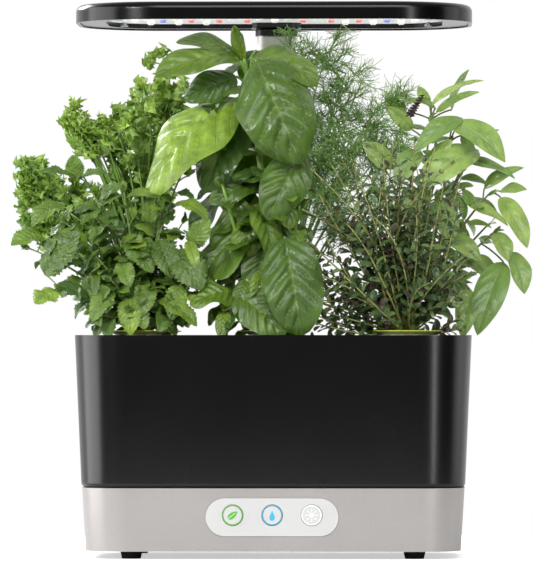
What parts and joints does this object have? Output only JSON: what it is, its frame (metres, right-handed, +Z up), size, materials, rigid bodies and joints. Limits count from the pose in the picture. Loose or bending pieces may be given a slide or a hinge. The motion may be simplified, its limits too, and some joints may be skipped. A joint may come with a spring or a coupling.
{
  "type": "countertop hydroponic garden",
  "caption": "Tabletop herb garden: base with pump and touch panel, black water bowl under a pod deck, and a lamp hood on a telescoping mast",
  "frame": {"origin": "on the counter, under the middle of the bowl", "axes": "+X to the viewer's right, +Y to the back, +Z up; the control panel faces -Y"},
  "size_m": [0.35, 0.152, 0.3713],
  "materials": {
    "silver_abs": "satin warm silver moulding",
    "black_abs": "satin black moulding",
    "black_pp": "matt black moulding",
    "rubber": "soft black rubber",
    "steel": "zinc plated steel",
    "panel_film": "pale grey film",
    "lens_blue": "translucent lens",
    "pcb_green": "solder mask",
    "copper": "wound copper",
    "foam": "open cell foam",
    "basket_white": "white moulding",
    "sponge_brown": "peat sponge",
    "label_green": "printed card",
    "leaf_parsley": "curled leaves",
    "leaf_mint": "leaves",
    "leaf_basil": "glossy leaves",
    "leaf_dill": "thread leaves",
    "leaf_lemon_basil": "pointed leaves",
    "leaf_thyme": "small leaves",
    "aluminium": "satin anodised",
    "led_panel": "white solder mask on aluminium",
    "led_clear": "clear lens",
    "led_red": "red lens",
    "led_blue": "blue lens",
    "lead_black": "sheathed lead"
  },
  "bodies": {
    "garden": {"base_shell": "silver_abs", "bottom_plate": "black_pp", "rubber_feet": "rubber", "case_screws": "steel", "control_overlay": "panel_film", "water_lens": "lens_blue", "switch_board": "pcb_green", "tact_switches": "black_pp", "indicator_leds": "led_clear", "main_board": "pcb_green", "power_jack": "black_pp", "pump_coil": "copper", "coil_bracket": "black_pp", "level_sensor": "steel", "mast_tower": "black_abs", "bowl": "black_abs", "grow_deck": "black_abs", "impeller_shaft": "steel", "pump_cover": "black_pp", "foam_filter": "foam", "riser_tube": "black_pp", "float_clip": "black_pp", "grow_sponges": "sponge_brown", "lamp_lead": "lead_black", "basket_parsley": "basket_white", "label_parsley": "label_green", "parsley_plant": "leaf_parsley", "basket_mint": "basket_white", "label_mint": "label_green", "mint_plant": "leaf_mint", "basket_basil": "basket_white", "label_basil": "label_green", "basil_plant": "leaf_basil", "basket_dill": "basket_white", "label_dill": "label_green", "dill_plant": "leaf_dill", "basket_lemon_basil": "basket_white", "label_lemon_basil": "label_green", "lemon_basil_plant": "leaf_lemon_basil", "basket_thyme": "basket_white", "label_thyme": "label_green", "thyme_plant": "leaf_thyme"},
    "outer_mast": {"mast_tube": "aluminium", "mast_collar": "black_abs", "mast_glide": "black_pp"},
    "lamp_hood": {"inner_mast": "black_abs", "hood_housing": "black_abs", "hood_bezel": "black_abs", "led_board": "led_panel", "hood_screws": "steel", "hood_flange": "black_abs", "led_driver": "pcb_green", "white_leds": "led_clear", "red_leds": "led_red", "blue_leds": "led_blue"},
    "fill_lid": {"fill_lid": "black_abs"},
    "impeller": {"impeller": "black_pp"},
    "float": {"float_ring": "basket_white"},
    "plant_food_button": {"plant_food_button": "panel_film"},
    "light_button": {"light_button": "panel_film"}
  },
  "joints": [
    {"name": "mast_lower", "type": "slide", "parent": "garden", "child": "outer_mast", "axis": [0, 0, 1], "range_m": [-0.06, 0], "deforming": ["basil_plant", "dill_plant", "lemon_basil_plant", "parsley_plant", "lamp_lead"]},
    {"name": "mast_upper", "type": "slide", "parent": "outer_mast", "child": "lamp_hood", "axis": [0, 0, 1], "range_m": [0, 0.071], "deforming": ["lamp_lead"]},
    {"name": "fill_lid_hinge", "type": "hinge", "parent": "garden", "child": "fill_lid", "pos_m": [0.046, -0.024, 0.1467], "axis": [-1, 0, 0], "range_deg": [0, 95]},
    {"name": "impeller_spin", "type": "hinge", "parent": "garden", "child": "impeller", "pos_m": [0.066, 0.016, 0.04], "axis": [0, 0, 1], "continuous": true},
    {"name": "float_rise", "type": "slide", "parent": "garden", "child": "float", "axis": [0, 0, 1], "range_m": [0, 0.058]},
    {"name": "plant_food_press", "type": "slide", "parent": "garden", "child": "plant_food_button", "axis": [0, 0.9983, 0.0591], "range_m": [0, 0.0008], "stiffness_N_per_m": 1500},
    {"name": "light_press", "type": "slide", "parent": "garden", "child": "light_button", "axis": [0, 0.9983, 0.0591], "range_m": [0, 0.0008], "stiffness_N_per_m": 1500}
  ]
}
